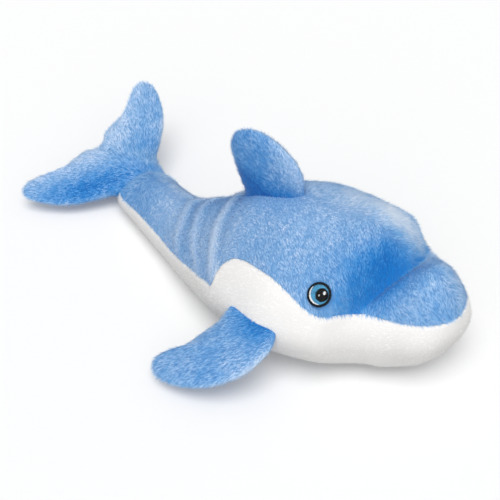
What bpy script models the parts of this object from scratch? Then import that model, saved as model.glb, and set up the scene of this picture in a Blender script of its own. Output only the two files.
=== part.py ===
"""Plush dolphin, about 28 cm long, lying on its belly.

Metres, +Z up. The head points to -Y, the dolphin's right side to -X and its
left side to +X. The tail is bent to the left. The origin lies under the
middle of the toy, on the surface that it rests on.

Each fabric piece is a shell as thick as backing and pile together. The pieces
meet at their seams with a small gap, and stuffing fills what they enclose.
"""

import math

import bmesh
import bpy
from mathutils import Euler, Matrix, Vector

MM = 0.001

# Fabric and fit
FABRIC = 3.0 * MM
GAP = 0.3 * MM

# Body line: the tail bends to the left, and the head turns to the right
BODY_LENGTH = 235.8 * MM
BEND_START = 129.7 * MM
TAIL_BEND = math.radians(35.8)
TURN_START = 174.5 * MM
TURN_LENGTH = 28.3 * MM
HEAD_TURN = math.radians(13.8)
NOSE_ROUND = 30.2 * MM

# Distances along the body are those of a body as long as its last section
# says, and the body line stretches them to the body's own length.

# Body sections: distance from the fluke seam, top, half width, underside
SECTIONS = (
    (0.0 * MM, 23.5 * MM, 16.0 * MM, 3.0 * MM),
    (9.0 * MM, 27.6 * MM, 19.2 * MM, 1.6 * MM),
    (23.6 * MM, 30.8 * MM, 18.8 * MM, 1.0 * MM),
    (51.9 * MM, 34.6 * MM, 21.5 * MM, 0.4 * MM),
    (84.9 * MM, 50.9 * MM, 32.0 * MM, 0.0 * MM),
    (117.9 * MM, 72.6 * MM, 48.1 * MM, 0.0 * MM),
    (146.2 * MM, 78.0 * MM, 57.8 * MM, 0.0 * MM),
    (174.5 * MM, 78.0 * MM, 53.5 * MM, 0.0 * MM),
    (198.0 * MM, 62.5 * MM, 38.9 * MM, 1.0 * MM),
    (207.5 * MM, 61.8 * MM, 34.3 * MM, 1.7 * MM),
    (217.0 * MM, 66.8 * MM, 30.0 * MM, 2.6 * MM),
    (235.8 * MM, 68.5 * MM, 33.9 * MM, 4.7 * MM),
)
WAIST = 0.46            # height of the widest point between underside and top
PEAK = 0.30             # how much narrower the back is than the belly
BELLY_PRESS = 1.5 * MM  # how far the belly is pressed flat by the weight

# Seam between blue back and white belly: distance from the fluke seam, height
SEAM = (
    (-30.0 * MM, 11.0 * MM),
    (9.8 * MM, 13.4 * MM),
    (34.3 * MM, 16.4 * MM),
    (58.4 * MM, 18.3 * MM),
    (77.0 * MM, 21.3 * MM),
    (93.7 * MM, 23.2 * MM),
    (107.5 * MM, 24.3 * MM),
    (111.8 * MM, 38.5 * MM),
    (117.0 * MM, 49.3 * MM),
    (126.6 * MM, 53.3 * MM),
    (140.8 * MM, 53.5 * MM),
    (154.6 * MM, 49.9 * MM),
    (166.0 * MM, 45.0 * MM),
    (172.0 * MM, 43.2 * MM),
    (184.0 * MM, 42.6 * MM),
    (195.0 * MM, 41.0 * MM),
    (214.0 * MM, 40.2 * MM),
    (226.0 * MM, 41.0 * MM),
    (233.0 * MM, 40.5 * MM),
    (260.0 * MM, 39.0 * MM),
)

# Crease between forehead and beak, seen from the side: distance and height
CREASE_TOP = (207.5 * MM, 63.5 * MM)
CREASE_CORNER = (193.3 * MM, 43.7 * MM)
CREASE_DEPTH = 3.0 * MM
CREASE_SPREAD = 4.5 * MM
FOREHEAD_SWELL = 2.5 * MM
FOREHEAD_SPREAD = 8.0 * MM
FOREHEAD_BACK = 13.0 * MM   # how far behind the crease the forehead swells
BEAK_SWELL = 0.8 * MM
BEAK_SPREAD = 7.0 * MM
BEAK_AHEAD = 11.0 * MM      # how far ahead of the crease the beak swells
CREASE_FADE = 6.0 * MM      # height above the seam at which the crease is full

# Dorsal fin: outline behind and above its middle on the back
DORSAL_AT = 117.0 * MM
DORSAL_HEIGHT = 72.0 * MM
DORSAL_HALF_THICKNESS = 7.5 * MM
DORSAL_OUTLINE = (
    (-24.5 * MM, -18.0 * MM),
    (-24.0 * MM, 4.0 * MM),
    (-22.3 * MM, 14.5 * MM),
    (-17.0 * MM, 23.0 * MM),
    (-10.8 * MM, 27.8 * MM),
    (-4.5 * MM, 31.2 * MM),
    (1.4 * MM, 33.1 * MM),
    (7.5 * MM, 33.6 * MM),
    (13.6 * MM, 32.5 * MM),
    (19.9 * MM, 29.5 * MM),
    (23.7 * MM, 24.4 * MM),
    (25.0 * MM, 18.0 * MM),
    (23.2 * MM, 12.0 * MM),
    (20.5 * MM, 4.5 * MM),
    (18.0 * MM, -2.0 * MM),
    (15.5 * MM, -8.0 * MM),
    (14.5 * MM, -18.0 * MM),
)

# Flippers: outline behind and outside the middle of the root
FLIPPER_AT = 136.0 * MM
FLIPPER_OUT = 55.0 * MM
FLIPPER_HEIGHT = 28.5 * MM
FLIPPER_DROOP = math.radians(22.8)
FLIPPER_TILT = math.radians(8.5)
FLIPPER_HALF_THICKNESS = 6.5 * MM
FLIPPER_OUTLINE = (
    (-14.0 * MM, -16.0 * MM),
    (-20.5 * MM, 1.0 * MM),
    (-22.3 * MM, 10.0 * MM),
    (-19.8 * MM, 20.0 * MM),
    (-15.5 * MM, 28.5 * MM),
    (-8.9 * MM, 35.3 * MM),
    (-0.5 * MM, 41.0 * MM),
    (9.5 * MM, 44.8 * MM),
    (21.0 * MM, 46.4 * MM),
    (31.5 * MM, 45.0 * MM),
    (38.0 * MM, 40.0 * MM),
    (39.0 * MM, 33.5 * MM),
    (34.0 * MM, 27.5 * MM),
    (27.5 * MM, 23.0 * MM),
    (22.3 * MM, 13.5 * MM),
    (19.0 * MM, 2.0 * MM),
    (14.0 * MM, -16.0 * MM),
)

# Fluke: the left half of its outline, outward and behind the fluke seam
FLUKE_HEIGHT = 14.0 * MM
FLUKE_YAW = math.radians(-8.2)
FLUKE_PITCH = math.radians(16.6)
FLUKE_ROLL = math.radians(18.2)
FLUKE_HALF_THICKNESS = 6.8 * MM
FLUKE_ROOT_SWELL = 5.0 * MM
FLUKE_ROOT_SPREAD = 22.0 * MM
FLUKE_OUTLINE = (
    (0.0 * MM, -14.0 * MM),
    (12.0 * MM, -9.5 * MM),
    (18.0 * MM, 3.0 * MM),
    (25.5 * MM, 8.0 * MM),
    (33.0 * MM, 12.9 * MM),
    (39.5 * MM, 17.5 * MM),
    (46.0 * MM, 24.3 * MM),
    (53.0 * MM, 35.0 * MM),
    (55.9 * MM, 44.0 * MM),
    (52.5 * MM, 50.6 * MM),
    (46.5 * MM, 51.9 * MM),
    (39.6 * MM, 49.4 * MM),
    (33.6 * MM, 45.8 * MM),
    (26.0 * MM, 43.5 * MM),
    (17.0 * MM, 42.8 * MM),
    (8.0 * MM, 41.5 * MM),
    (0.0 * MM, 37.0 * MM),
)

# Embroidered eyes: place on the body, size and height of the thread
EYE_AT = 170.8 * MM
EYE_HEIGHT = 53.3 * MM
EYE_RADIUS = 6.0 * MM
EYE_DOME = 1.6 * MM

# Fineness of the surfaces
AROUND = 24
BODY_STEP = 12.0 * MM
HEAD_STEP = 4.5 * MM
NOSE_RINGS = 10
FIN_SAMPLES = 28
FIN_RINGS = (0.95, 0.82, 0.58, 0.28)
EYE_SEGMENTS = 24
EYE_RINGS = 6
SEAM_COLUMNS = 5
SEAM_STEPS = 3
CREASE_ROWS = 12
CREASE_OVER = 1.4   # how far its cutter passes the crease, as a share of it
CUTTER_REACH = 0.15

BLUE = (112, 162, 216)
WHITE = (238, 235, 230)
FILLING = (246, 246, 244)
THREAD = (18, 20, 26)


def smooth(points, column, at):
    """Monotone cubic through the points' column, linear past the ends."""
    xs = [point[0] for point in points]
    ys = [point[column] for point in points]
    steps = [b - a for a, b in zip(xs, xs[1:])]
    slopes = [(b - a) / step for a, b, step in zip(ys, ys[1:], steps)]
    tangents = [slopes[0]]
    for k in range(1, len(slopes)):
        before, after = slopes[k - 1], slopes[k]
        if before * after <= 0.0:
            tangents.append(0.0)
            continue
        weight_before = 2.0 * steps[k] + steps[k - 1]
        weight_after = steps[k] + 2.0 * steps[k - 1]
        total = weight_before + weight_after
        tangents.append(total / (weight_before / before + weight_after / after))
    tangents.append(slopes[-1])
    if at <= xs[0]:
        return ys[0] + tangents[0] * (at - xs[0])
    if at >= xs[-1]:
        return ys[-1] + tangents[-1] * (at - xs[-1])
    k = max(i for i, x in enumerate(xs[:-1]) if x <= at)
    t = (at - xs[k]) / steps[k]
    start = (1.0 + 2.0 * t) * (1.0 - t) ** 2 * ys[k] + t * (1.0 - t) ** 2 * steps[k] * tangents[k]
    end = t * t * (3.0 - 2.0 * t) * ys[k + 1] - t * t * (1.0 - t) * steps[k] * tangents[k + 1]
    return start + end


def heading(distance):
    """How far the body line is turned at a distance from the fluke seam."""
    tail = TAIL_BEND * max(BEND_START - distance, 0.0) / BEND_START
    turned = min(max(distance - TURN_START, 0.0), TURN_LENGTH)
    return tail + HEAD_TURN * turned / TURN_LENGTH


def place(distance, aside, height):
    """World point at a distance from the fluke seam and aside of the body line."""
    stretch = BODY_LENGTH / SECTIONS[-1][0]
    tail_radius = BEND_START / TAIL_BEND
    head_radius = TURN_LENGTH / HEAD_TURN
    angle = heading(distance)
    if distance < BEND_START:
        x = tail_radius * (1.0 - math.cos(angle))
        y = tail_radius * math.sin(angle)
    elif distance < TURN_START:
        x = 0.0
        y = BEND_START - distance
    else:
        beyond = max(distance - TURN_START - TURN_LENGTH, 0.0)
        x = -head_radius * (1.0 - math.cos(angle)) - beyond * math.sin(angle)
        y = BEND_START - TURN_START - head_radius * math.sin(angle) - beyond * math.cos(angle)
    x = x * stretch + aside * math.cos(angle)
    y = y * stretch - aside * math.sin(angle)
    return Vector((x, y, height))


def bump(offset, spread):
    return math.exp(-(offset / spread) ** 2)


def crease_relief(distance, height):
    """How far the skin stands out or in around the crease."""
    along = Vector((CREASE_TOP[0] - CREASE_CORNER[0], CREASE_TOP[1] - CREASE_CORNER[1]))
    along.normalize()
    reach = Vector((distance - CREASE_TOP[0], height - CREASE_TOP[1]))
    ahead = reach.x * along.y - reach.y * along.x
    relief = FOREHEAD_SWELL * bump(ahead + FOREHEAD_BACK, FOREHEAD_SPREAD)
    relief += BEAK_SWELL * bump(ahead - BEAK_AHEAD, BEAK_SPREAD)
    relief -= CREASE_DEPTH * bump(ahead, CREASE_SPREAD)
    rise = (height - smooth(SEAM, 1, distance)) / CREASE_FADE
    return relief * min(max(rise, 0.0), 1.0)


def body_point(distance, angle, grow=0.0):
    """Point of the body's skin, or of a skin grown outwards from it."""
    top = smooth(SECTIONS, 1, distance) + grow
    half_width = smooth(SECTIONS, 2, distance) + grow
    bottom = smooth(SECTIONS, 3, distance) - grow - BELLY_PRESS
    into_nose = (distance - SECTIONS[-1][0] + NOSE_ROUND) / (NOSE_ROUND + grow)
    into_nose = min(max(into_nose, 0.0), 1.0)
    close = math.sqrt(1.0 - into_nose ** 2)
    middle = bottom + WAIST * (top - bottom)
    across, rise = math.cos(angle), math.sin(angle)
    aside = half_width * close * across * (1.0 - PEAK * rise)
    up = (top - middle if rise > 0.0 else middle - bottom) * close * rise
    relief = crease_relief(distance, middle + up)
    stretch = 1.0 + relief / max(math.hypot(aside, up), NOSE_ROUND)
    height = max(middle + up * stretch, -grow)
    return place(distance, aside * stretch, height)


def body_stations(grow, tail_end):
    """Distances of the rings: wide apart on the body, close on the head."""
    head_start = CREASE_CORNER[0] - FOREHEAD_BACK
    nose_start = SECTIONS[-1][0] - NOSE_ROUND
    body_count = math.ceil(head_start / BODY_STEP)
    head_count = math.ceil((nose_start - head_start) / HEAD_STEP)
    stations = [head_start * k / body_count for k in range(body_count)]
    stations += [head_start + (nose_start - head_start) * k / head_count for k in range(head_count)]
    for k in range(NOSE_RINGS + 1):
        turn = 0.5 * math.pi * k / (NOSE_RINGS + 0.6)
        stations.append(nose_start + (NOSE_ROUND + grow) * math.sin(turn))
    if tail_end < 0.0:
        stations.insert(0, tail_end)
    return stations


def mesh_object(name, mesh, collection):
    obj = bpy.data.objects.new(name, mesh)
    collection.objects.link(obj)
    obj.parent = root
    return obj


def loft(name, rings):
    """Closed mesh through rings of equal count, both ends filled.

    Its triangles follow one rule, so that lofts which lie inside each other
    keep their distance all over.
    """
    bm = bmesh.new()
    rows = [[bm.verts.new(point) for point in ring] for ring in rings]
    count = len(rows[0])
    for row, following in zip(rows, rows[1:]):
        for k in range(count):
            after = (k + 1) % count
            bm.faces.new((row[k], row[after], following[after], following[k]))
    bm.faces.new(rows[0])
    bm.faces.new(rows[-1])
    bmesh.ops.triangulate(bm, faces=bm.faces, quad_method="FIXED")
    return closed_mesh(name, bm)


def closed_mesh(name, bm):
    """Finish a mesh with its faces pointing out."""
    bmesh.ops.recalc_face_normals(bm, faces=bm.faces)
    mesh = bpy.data.meshes.new(name)
    bm.to_mesh(mesh)
    bm.free()
    mesh.shade_smooth()
    mesh.set_sharp_from_angle(angle=math.radians(35))
    return mesh


def body_mesh(name, grow, tail_end=0.0):
    rings = []
    for distance in body_stations(grow, tail_end):
        angles = [2.0 * math.pi * k / AROUND - 0.5 * math.pi for k in range(AROUND)]
        rings.append([body_point(distance, angle, grow) for angle in angles])
    return loft(name, rings)


def closed_outline(points, samples):
    """Evenly spaced points on a smooth closed curve through the outline."""
    count = len(points)
    fine = []
    for k in range(count):
        p0, p1, p2, p3 = (Vector(points[(k + i - 1) % count]) for i in range(4))
        for step in range(8):
            t = step / 8.0
            fine.append(0.5 * (2.0 * p1 + (p2 - p0) * t
                               + (2.0 * p0 - 5.0 * p1 + 4.0 * p2 - p3) * t * t
                               + (3.0 * p1 - p0 - 3.0 * p2 + p3) * t ** 3))
    lengths = [(fine[(k + 1) % len(fine)] - fine[k]).length for k in range(len(fine))]
    spacing = sum(lengths) / samples
    outline, travelled = [], 0.0
    for point, length, following in zip(fine, lengths, fine[1:] + fine[:1]):
        while len(outline) < samples and len(outline) * spacing < travelled + length:
            part = (len(outline) * spacing - travelled) / length
            outline.append(point.lerp(following, part))
        travelled += length
    return outline


def grown_outline(outline, grow):
    """The outline moved outwards along its own normals."""
    count = len(outline)
    area = sum(outline[k].cross(outline[(k + 1) % count]) for k in range(count))
    turn = 1.0 if area > 0.0 else -1.0
    grown = []
    for k, point in enumerate(outline):
        tangent = (outline[(k + 1) % count] - outline[k - 1]).normalized()
        grown.append(point + Vector((tangent.y, -tangent.x)) * grow * turn)
    return grown


def fin_mesh(name, outline, thickness, grow):
    """Stuffed flat form: its thickness falls from the middle to a round rim."""
    rim = grown_outline(closed_outline(outline, FIN_SAMPLES), grow)
    centre = sum(rim, Vector((0.0, 0.0))) / len(rim)
    bm = bmesh.new()

    def row(share, side):
        lift = math.sqrt(1.0 - share ** 2) * side
        points = [centre.lerp(point, share) for point in rim]
        return [bm.verts.new((p.x, p.y, lift * (thickness(p) + grow))) for p in points]

    edge = row(1.0, 0.0)
    for side in (1.0, -1.0):
        outer = edge
        for share in FIN_RINGS:
            inner = row(share, side)
            for k in range(len(rim)):
                after = (k + 1) % len(rim)
                bm.faces.new((outer[k], outer[after], inner[after], inner[k]))
            outer = inner
        bm.faces.new(outer)
    return closed_mesh(name, bm)


def fabric_material(name, colour, roughness=0.95):
    def linear(value):
        value /= 255.0
        return value / 12.92 if value <= 0.04045 else ((value + 0.055) / 1.055) ** 2.4

    material = bpy.data.materials.new(name)
    material.use_nodes = True
    shader = material.node_tree.nodes["Principled BSDF"]
    shader.inputs["Base Color"].default_value = (*(linear(value) for value in colour), 1.0)
    shader.inputs["Roughness"].default_value = roughness
    shader.inputs["Metallic"].default_value = 0.0
    return material


def cutter(name, mesh, frame=Matrix()):
    obj = mesh_object(name, mesh, cutters)
    obj.matrix_local = frame
    obj.hide_render = True
    obj.display_type = "WIRE"
    return obj


def piece(name, mesh, material, keep=(), remove=(), frame=Matrix()):
    """One sub-part: a mesh cut to what it shares with some, without others."""
    obj = mesh_object(name, mesh.copy(), parts)
    obj.data.name = name
    obj.matrix_local = frame
    obj.data.materials.append(material)
    for operation, operands in (("INTERSECT", keep), ("DIFFERENCE", remove)):
        for operand in operands:
            boolean = obj.modifiers.new(operand.name, "BOOLEAN")
            boolean.operation = operation
            boolean.object = operand
    return obj


def seam_edge(shift):
    """Points of the seam seen from the side, moved across it by a shift."""
    line = []
    for (start, _), (end, _) in zip(SEAM, SEAM[1:]):
        for k in range(SEAM_STEPS):
            distance = start + (end - start) * k / SEAM_STEPS
            line.append(Vector((distance, smooth(SEAM, 1, distance))))
    line.append(Vector(SEAM[-1]))
    edge = []
    for k, point in enumerate(line):
        tangent = line[min(k + 1, len(line) - 1)] - line[max(k - 1, 0)]
        tangent.normalize()
        edge.append(point + Vector((-tangent.y, tangent.x)) * shift)
    return edge


def seam_columns(right, left):
    """Places across the body at which every seam block has a row of points."""
    width = max(section[2] for section in SECTIONS) + FABRIC
    outer = [width * k / SEAM_COLUMNS for k in range(1, SEAM_COLUMNS + 2)]
    columns = []
    if right:
        columns += [-aside for aside in reversed(outer)] + [-GAP / 2.0]
    if left:
        columns += [GAP / 2.0] + outer
    return columns


def seam_block(name, shift, right, left, far):
    """Block from the seam up or down, on one side of the body line or both."""
    columns = seam_columns(right, left)
    rings = []
    for distance, height in seam_edge(shift):
        ring = [place(distance, aside, height) for aside in columns]
        ring += [place(distance, aside, far) for aside in (columns[-1], columns[0])]
        rings.append(ring)
    return cutter(name, loft(name, rings))


def beak_block(name, shift):
    """Block ahead of the crease, moved forward by a shift."""
    corner = Vector(CREASE_CORNER)
    top = Vector(CREASE_TOP)
    along = (top - corner).normalized()
    ahead = Vector((along.y, -along.x))
    columns = seam_columns(True, True)
    rings = []
    for k in range(CREASE_ROWS + 1):
        share = k / CREASE_ROWS * (1.0 + 2.0 * CREASE_OVER) - CREASE_OVER
        edge = corner.lerp(top, share) + ahead * shift
        far = edge + ahead * CUTTER_REACH
        ring = [place(edge.x, aside, edge.y) for aside in columns]
        ring += [place(far.x, aside, far.y) for aside in (columns[-1], columns[0])]
        rings.append(ring)
    return cutter(name, loft(name, rings))


def make_body():
    """Blue back in two halves, blue beak, white belly and their stuffing."""
    skin = body_mesh("body_skin", 0.0)
    hollow = cutter("body_hollow", body_mesh("body_hollow", -FABRIC, -2.0 * FABRIC))
    half_gap = GAP / 2.0
    below = seam_block("belly_side", -half_gap, True, True, -CUTTER_REACH)
    above = seam_block("back_side", half_gap, True, True, CUTTER_REACH)
    right = seam_block("right_side", half_gap, True, False, CUTTER_REACH)
    left = seam_block("left_side", half_gap, False, True, CUTTER_REACH)
    beak = beak_block("beak_side", half_gap)
    not_beak = beak_block("beak_side_and_gap", -half_gap)
    piece("back_right", skin, blue, (right,), (not_beak, hollow))
    piece("back_left", skin, blue, (left,), (not_beak, hollow))
    piece("beak", skin, blue, (above, beak), (hollow,))
    piece("belly", skin, white, (below,), (hollow,))
    piece("body_stuffing", body_mesh("body_stuffing", -FABRIC - GAP), filling)


def half_space(name, side, frame):
    """Block on one side of a fin's middle plane, clear of it by half the gap."""
    bm = bmesh.new()
    bmesh.ops.create_cube(bm, size=2.0 * CUTTER_REACH)
    bmesh.ops.translate(bm, verts=bm.verts, vec=(0.0, 0.0, side * (CUTTER_REACH + GAP / 2.0)))
    return cutter(name, closed_mesh(name, bm), frame)


def make_fin(name, faces, outline, thickness, frame, body):
    """Two sewn faces with stuffing between them, seated on the body."""
    skin = fin_mesh(name, outline, thickness, 0.0)
    hollow = cutter(name + "_hollow", fin_mesh(name, outline, thickness, -FABRIC), frame)
    for face, side in zip(faces, (1.0, -1.0)):
        half = half_space(f"{name}_{face}_side", side, frame)
        piece(f"{name}_{face}", skin, blue, (half,), (hollow, body), frame)
    core = fin_mesh(name, outline, thickness, -FABRIC - GAP)
    piece(f"{name}_stuffing", core, filling, (), (body,), frame)


def make_dorsal_fin(body):
    upright = Matrix(((0.0, 0.0, 1.0), (1.0, 0.0, 0.0), (0.0, 1.0, 0.0))).to_4x4()
    turned = Matrix.Rotation(-heading(DORSAL_AT), 4, "Z")
    frame = Matrix.Translation(place(DORSAL_AT, 0.0, DORSAL_HEIGHT)) @ turned @ upright

    def thickness(point):
        return DORSAL_HALF_THICKNESS

    make_fin("dorsal_fin", ("left_face", "right_face"), DORSAL_OUTLINE, thickness, frame, body)


def make_flippers(body):
    """Paddles that slope down and back from the sides of the chest."""
    for name, side in (("right_flipper", -1.0), ("left_flipper", 1.0)):
        outline = [(out * side, back) for back, out in FLIPPER_OUTLINE]
        seat = Matrix.Translation(place(FLIPPER_AT, side * FLIPPER_OUT, FLIPPER_HEIGHT))
        droop = Matrix.Rotation(side * FLIPPER_DROOP, 4, "Y")
        frame = seat @ droop @ Matrix.Rotation(-FLIPPER_TILT, 4, "X")

        def thickness(point):
            return FLIPPER_HALF_THICKNESS

        make_fin(name, ("upper_face", "lower_face"), outline, thickness, frame, body)


def make_fluke(body):
    """Two swept lobes in one outline, its left lobe tipped up."""
    left = FLUKE_OUTLINE
    right = [(-out, back) for out, back in reversed(left[1:-1])]
    outline = list(left) + right
    turn = Euler((FLUKE_PITCH, -FLUKE_ROLL, FLUKE_YAW), "YXZ").to_matrix().to_4x4()
    frame = Matrix.Translation(place(0.0, 0.0, FLUKE_HEIGHT)) @ turn

    def thickness(point):
        return FLUKE_HALF_THICKNESS + FLUKE_ROOT_SWELL * bump(point.length, FLUKE_ROOT_SPREAD)

    make_fin("fluke", ("upper_face", "lower_face"), outline, thickness, frame, body)


def skin_angle(distance, height):
    """Angle on the upper left of the body at which the skin has a height."""
    low, high = 0.0, 0.5 * math.pi
    for _ in range(30):
        middle = 0.5 * (low + high)
        if body_point(distance, middle).z < height:
            low = middle
        else:
            high = middle
    return low


def make_eyes(body):
    """Round patches of raised thread on both sides of the head."""
    angle = skin_angle(EYE_AT, EYE_HEIGHT)
    step = 0.5 * MM
    turn = 0.01
    for name, mirror in (("right_eye", True), ("left_eye", False)):
        at = math.pi - angle if mirror else angle
        centre = body_point(EYE_AT, at)
        forward = body_point(EYE_AT + step, at) - centre
        around = body_point(EYE_AT, at + turn) - centre
        normal = forward.cross(around).normalized()
        if normal.dot(centre - place(EYE_AT, 0.0, 0.0)) < 0.0:
            normal.negate()
        frame = Matrix.Translation(centre) @ normal.to_track_quat("Z", "Y").to_matrix().to_4x4()
        bm = bmesh.new()
        bmesh.ops.create_uvsphere(bm, u_segments=EYE_SEGMENTS, v_segments=EYE_RINGS, radius=1.0)
        bmesh.ops.scale(bm, verts=bm.verts, vec=(EYE_RADIUS, EYE_RADIUS, EYE_DOME))
        piece(name, closed_mesh(name, bm), thread, (), (body,), frame)


def stand_on_origin():
    """Move everything so that the origin is under the middle of its box."""
    depsgraph = bpy.context.evaluated_depsgraph_get()
    corners = []
    for obj in parts.objects:
        shape = obj.evaluated_get(depsgraph)
        corners += [shape.matrix_world @ vertex.co for vertex in shape.to_mesh().vertices]
        shape.to_mesh_clear()
    low = [min(corner[axis] for corner in corners) for axis in range(3)]
    high = [max(corner[axis] for corner in corners) for axis in range(3)]
    root.location = (-(low[0] + high[0]) / 2.0, -(low[1] + high[1]) / 2.0, -low[2])


for old in list(bpy.data.objects):
    bpy.data.objects.remove(old, do_unlink=True)

parts = bpy.data.collections.new("plush_dolphin")
cutters = bpy.data.collections.new("cutters")
for group in (parts, cutters):
    bpy.context.scene.collection.children.link(group)
root = bpy.data.objects.new("dolphin", None)
bpy.context.scene.collection.objects.link(root)

blue = fabric_material("blue_plush", BLUE)
white = fabric_material("white_plush", WHITE)
filling = fabric_material("stuffing", FILLING)
thread = fabric_material("eye_thread", THREAD, 0.5)

make_body()
clear_of_body = cutter("body_and_gap", body_mesh("body_and_gap", GAP, -GAP))
make_dorsal_fin(clear_of_body)
make_flippers(clear_of_body)
make_fluke(clear_of_body)
make_eyes(clear_of_body)
stand_on_origin()
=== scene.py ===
"""Looks of the plush dolphin: cloth and pile, folds, stitched eyes, floor, light and camera.

Lengths are in millimetres until a mesh is made. The body's shape is given by a
distance from the fluke seam and an angle around the body: 0 degrees is the
left side, 90 the top and 180 the right side.
"""

import math

import bpy
import numpy as np
from mathutils import Euler, Matrix, Vector
from mathutils.kdtree import KDTree


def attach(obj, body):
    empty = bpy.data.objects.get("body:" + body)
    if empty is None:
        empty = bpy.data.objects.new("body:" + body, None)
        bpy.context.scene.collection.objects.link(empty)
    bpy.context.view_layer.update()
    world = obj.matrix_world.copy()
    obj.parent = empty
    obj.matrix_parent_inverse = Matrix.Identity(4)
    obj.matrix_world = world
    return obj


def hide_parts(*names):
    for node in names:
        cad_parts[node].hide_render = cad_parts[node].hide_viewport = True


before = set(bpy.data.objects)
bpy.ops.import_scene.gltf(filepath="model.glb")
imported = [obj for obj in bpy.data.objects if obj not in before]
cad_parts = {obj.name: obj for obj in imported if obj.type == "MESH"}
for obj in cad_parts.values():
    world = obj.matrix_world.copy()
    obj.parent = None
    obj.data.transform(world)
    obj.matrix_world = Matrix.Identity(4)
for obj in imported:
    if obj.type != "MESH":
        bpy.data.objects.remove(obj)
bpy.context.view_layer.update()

MM = 0.001
ORIGIN = np.array([-0.198, -37.796, 0.0])   # from the body line's frame to the part's

# Body line and sections, as the solids have them: distance, top, half width and bottom
BODY_LENGTH = 235.8
BEND_START = 129.7
TAIL_BEND = math.radians(35.8)
TURN_START = 174.5
TURN_LENGTH = 28.3
HEAD_TURN = math.radians(13.8)
NOSE_ROUND = 30.2
NOSE_START = BODY_LENGTH - NOSE_ROUND
SECTIONS = np.array((
    (0.0, 23.5, 16.0, 3.0),
    (9.0, 27.6, 19.2, 1.6),
    (23.6, 30.8, 18.8, 1.0),
    (51.9, 34.6, 21.5, 0.4),
    (84.9, 50.9, 32.0, 0.0),
    (117.9, 72.6, 48.1, 0.0),
    (146.2, 78.0, 57.8, 0.0),
    (174.5, 78.0, 53.5, 0.0),
    (198.0, 62.5, 38.9, 1.0),
    (207.5, 61.8, 34.3, 1.7),
    (217.0, 66.8, 30.0, 2.6),
    (235.8, 68.5, 33.9, 4.7),
))
WAIST = 0.46
PEAK = 0.30
BELLY_PRESS = 1.5
TAIL_ROUND = 6.0
# Height of the line between blue and white, by distance: lower than the solids' on the tail
SEAM = (
    (-30.0, 11.0), (9.8, 13.4), (34.3, 15.8), (58.4, 17.2), (77.0, 19.0),
    (93.7, 18.0), (104.0, 14.5), (109.8, 10.0), (111.4, 37.0), (115.0, 46.0), (120.0, 50.3), (126.6, 52.4),
    (140.8, 53.5), (154.6, 49.9), (166.0, 45.0), (172.0, 43.2), (184.0, 42.6),
    (195.0, 41.0), (214.0, 40.2), (226.0, 41.0), (233.0, 40.5), (260.0, 39.0),
)
CREASE_TOP = np.array((207.5, 63.5))
CREASE_CORNER = np.array((193.3, 43.7))
CREASE_DEPTH = 3.0
CREASE_SPREAD = 4.5
CREASE_STEP = 2.0       # how much steeper the beak's side of the crease is
FOREHEAD_SWELL = 2.5
FOREHEAD_SPREAD = 8.0
FOREHEAD_BACK = 13.0
BEAK_SWELL = 0.8
BEAK_SPREAD = 7.0
BEAK_AHEAD = 11.0
CREASE_FADE = 6.0

# Cloth folds across the waist: angle from the top in degrees and distance
FOLDS = (
    ((0, 59.0), (16, 61.3), (48, 66.2), (69, 69.7), (85, 77.0), (97, 90.0)),
    ((0, 73.0), (31, 76.5), (50, 81.0), (64, 84.9), (78, 92.7), (90, 100.5)),
    ((0, 94.0), (24, 96.2), (39, 97.2), (52, 99.6), (62, 102.6), (80, 108.0)),
)
FOLD_HEIGHTS = (0.7, 0.8, 1.2)
FOLD_SPREAD = 3.2

# Where the cloth sinks: at the temples, and at the tail's end under the fluke
TEMPLE_DEPTH = 2.6
TEMPLE_AT = 188.0
TEMPLE_LENGTH = 12.0
TEMPLE_ANGLE = 42.0     # degrees from the top
TEMPLE_SPREAD = 24.0
TAIL_END_DEPTH = 5.0
TAIL_END_FROM = 12.0
TAIL_END_LENGTH = 15.0

# Pile
BLUE_PILE = 3.3
FIN_PILE = 0.9 * BLUE_PILE
WHITE_PILE = 2.0
BLUE_DENSITY = 9.0      # fibres on a square millimetre
WHITE_DENSITY = 5.0
WHITE_UNRULY = 1.4      # how much more the white fibres stray than the blue ones
FIBRE_WIDTH = 0.18
FIBRES_PER_TUFT = 4
TUFT_SPREAD = 0.24
TUFT_TURN = math.radians(11.0)
TUFT_TILT = math.radians(7.0)
STRAY_SHARE = 0.14      # tufts that stand up more than the others
STRAY_TILT = math.radians(20.0)
FIBRE_STRAY = 0.06
ROOT_DEPTH = 0.3        # how far the roots are under the cloth
BLUE_INSET = 1.8        # how far the cloth lies under the skin that the pile's tips make
WHITE_INSET = 1.2
LEAN = math.radians(69)
TOP_NAP = 0.9           # how far the nap turns to the side, against one ahead
SIDE_NAP = 0.5          # the same down on the flanks
SPINE_WIDTH = 0.12      # where the nap parts along the back, as a share of the width

# Where the fins are, how they are turned and how thick they are
DORSAL_AT = 117.0
DORSAL_HEIGHT = 72.0
DORSAL_HALF_THICKNESS = 7.5
FLIPPER_AT = 136.0
FLIPPER_ASIDE = 55.0
FLIPPER_HEIGHT = 28.5
FLIPPER_DROOP = math.radians(22.8)
FLIPPER_PITCH = math.radians(8.5)
FLIPPER_HALF_THICKNESS = 6.5
FLUKE_HEIGHT = 14.0
FLUKE_YAW = math.radians(-8.2)
FLUKE_PITCH = math.radians(16.6)
FLUKE_ROLL = math.radians(18.2)
FLUKE_HALF_THICKNESS = 6.8
FLUKE_ROOT_SWELL = 9.0
FLUKE_ROOT_SPREAD = 21.0
FIN_ROOT_REACH = 2.5    # how deep in the body a fin still has pile

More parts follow.
